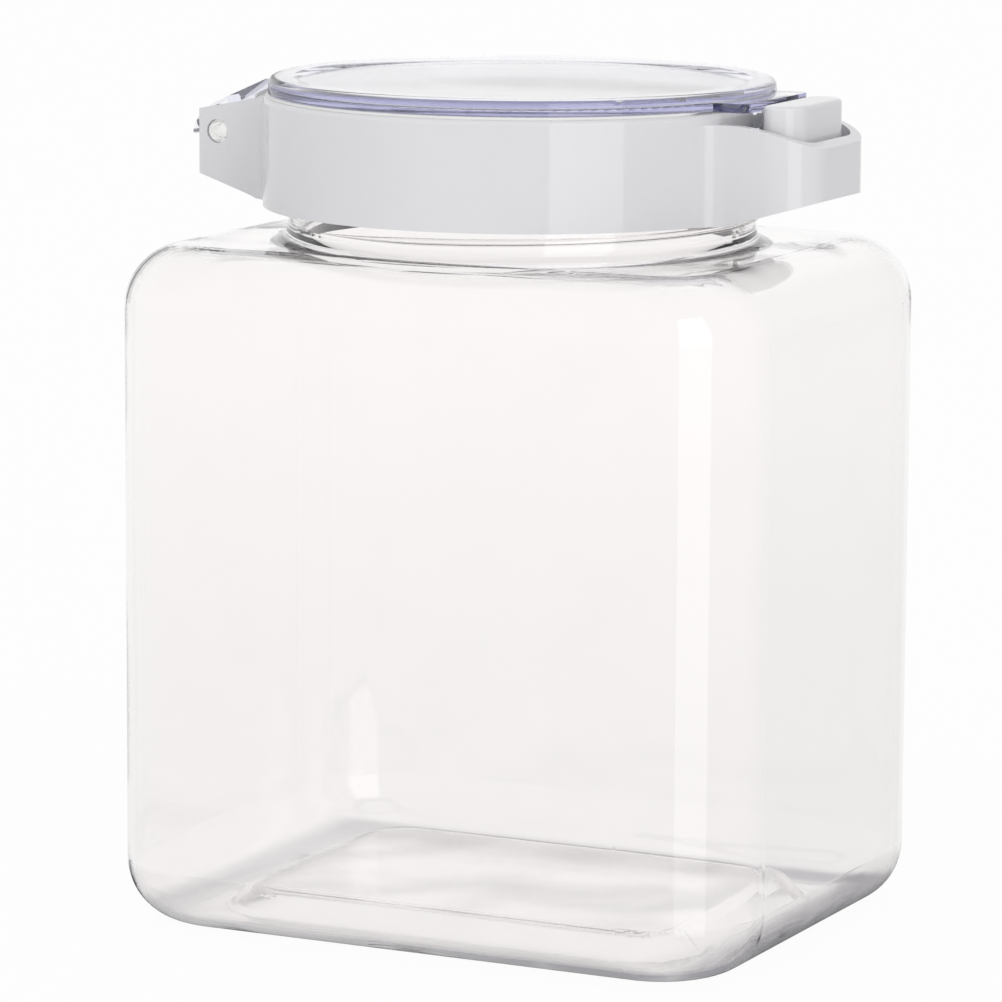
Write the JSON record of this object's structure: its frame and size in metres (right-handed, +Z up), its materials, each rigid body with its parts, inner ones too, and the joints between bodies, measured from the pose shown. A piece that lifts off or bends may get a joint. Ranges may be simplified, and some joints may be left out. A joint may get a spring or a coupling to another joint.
{
  "type": "food canister",
  "caption": "Clear rectangular food canister with a screw collar, a hinged clear lid, a sprung hinge and a push-button latch.",
  "frame": {"origin": "middle of the jar's base, on the surface that it stands on", "axes": "+X along the wide front from the hinge to the latch, front face towards -Y, +Z up"},
  "size_m": [0.14, 0.112, 0.172],
  "materials": {
    "clear_jar": "clear blown plastic",
    "white_plastic": "moulded gloss white",
    "natural_plastic": "natural moulded plastic",
    "clear_lid": "clear moulded plastic with a violet edge",
    "soft_seal": "translucent silicone",
    "spring_steel": "drawn spring wire",
    "pin_steel": "ground steel"
  },
  "bodies": {
    "jar": {"jar": "clear_jar"},
    "neck_seal": {"neck_gasket": "soft_seal"},
    "collar": {"collar": "white_plastic", "hinge_pin": "natural_plastic", "lid_spring": "spring_steel", "latch_pin": "pin_steel", "latch_spring": "spring_steel"},
    "lid": {"lid_plate": "clear_lid", "lid_cover": "clear_lid", "lid_seal": "soft_seal"},
    "latch": {"latch_button": "white_plastic"}
  },
  "joints": [
    {"name": "collar_lift", "type": "slide", "parent": "jar", "child": "neck_seal", "axis": [0, 0, 1], "range_m": [0, 0.005]},
    {"name": "collar_turn", "type": "hinge", "parent": "neck_seal", "child": "collar", "pos_m": [0, 0, 0.157], "axis": [0, 0, 1], "range_deg": [0, 360]},
    {"name": "lid_open", "type": "hinge", "parent": "collar", "child": "lid", "pos_m": [-0.0615, 0, 0.1593], "axis": [0, -1, 0], "range_deg": [0, 100], "deforming": ["lid_spring"]},
    {"name": "latch_press", "type": "hinge", "parent": "collar", "child": "latch", "pos_m": [0.056, 0, 0.1545], "axis": [0, 1, 0], "range_deg": [0, 9], "stiffness_Nm_per_rad": 0.034, "springref_deg": -8.59, "deforming": ["latch_spring"]}
  ],
  "couplings": [
    {"joint": "collar_turn", "follows": "collar_lift", "rad_per_m": 1256.6}
  ]
}
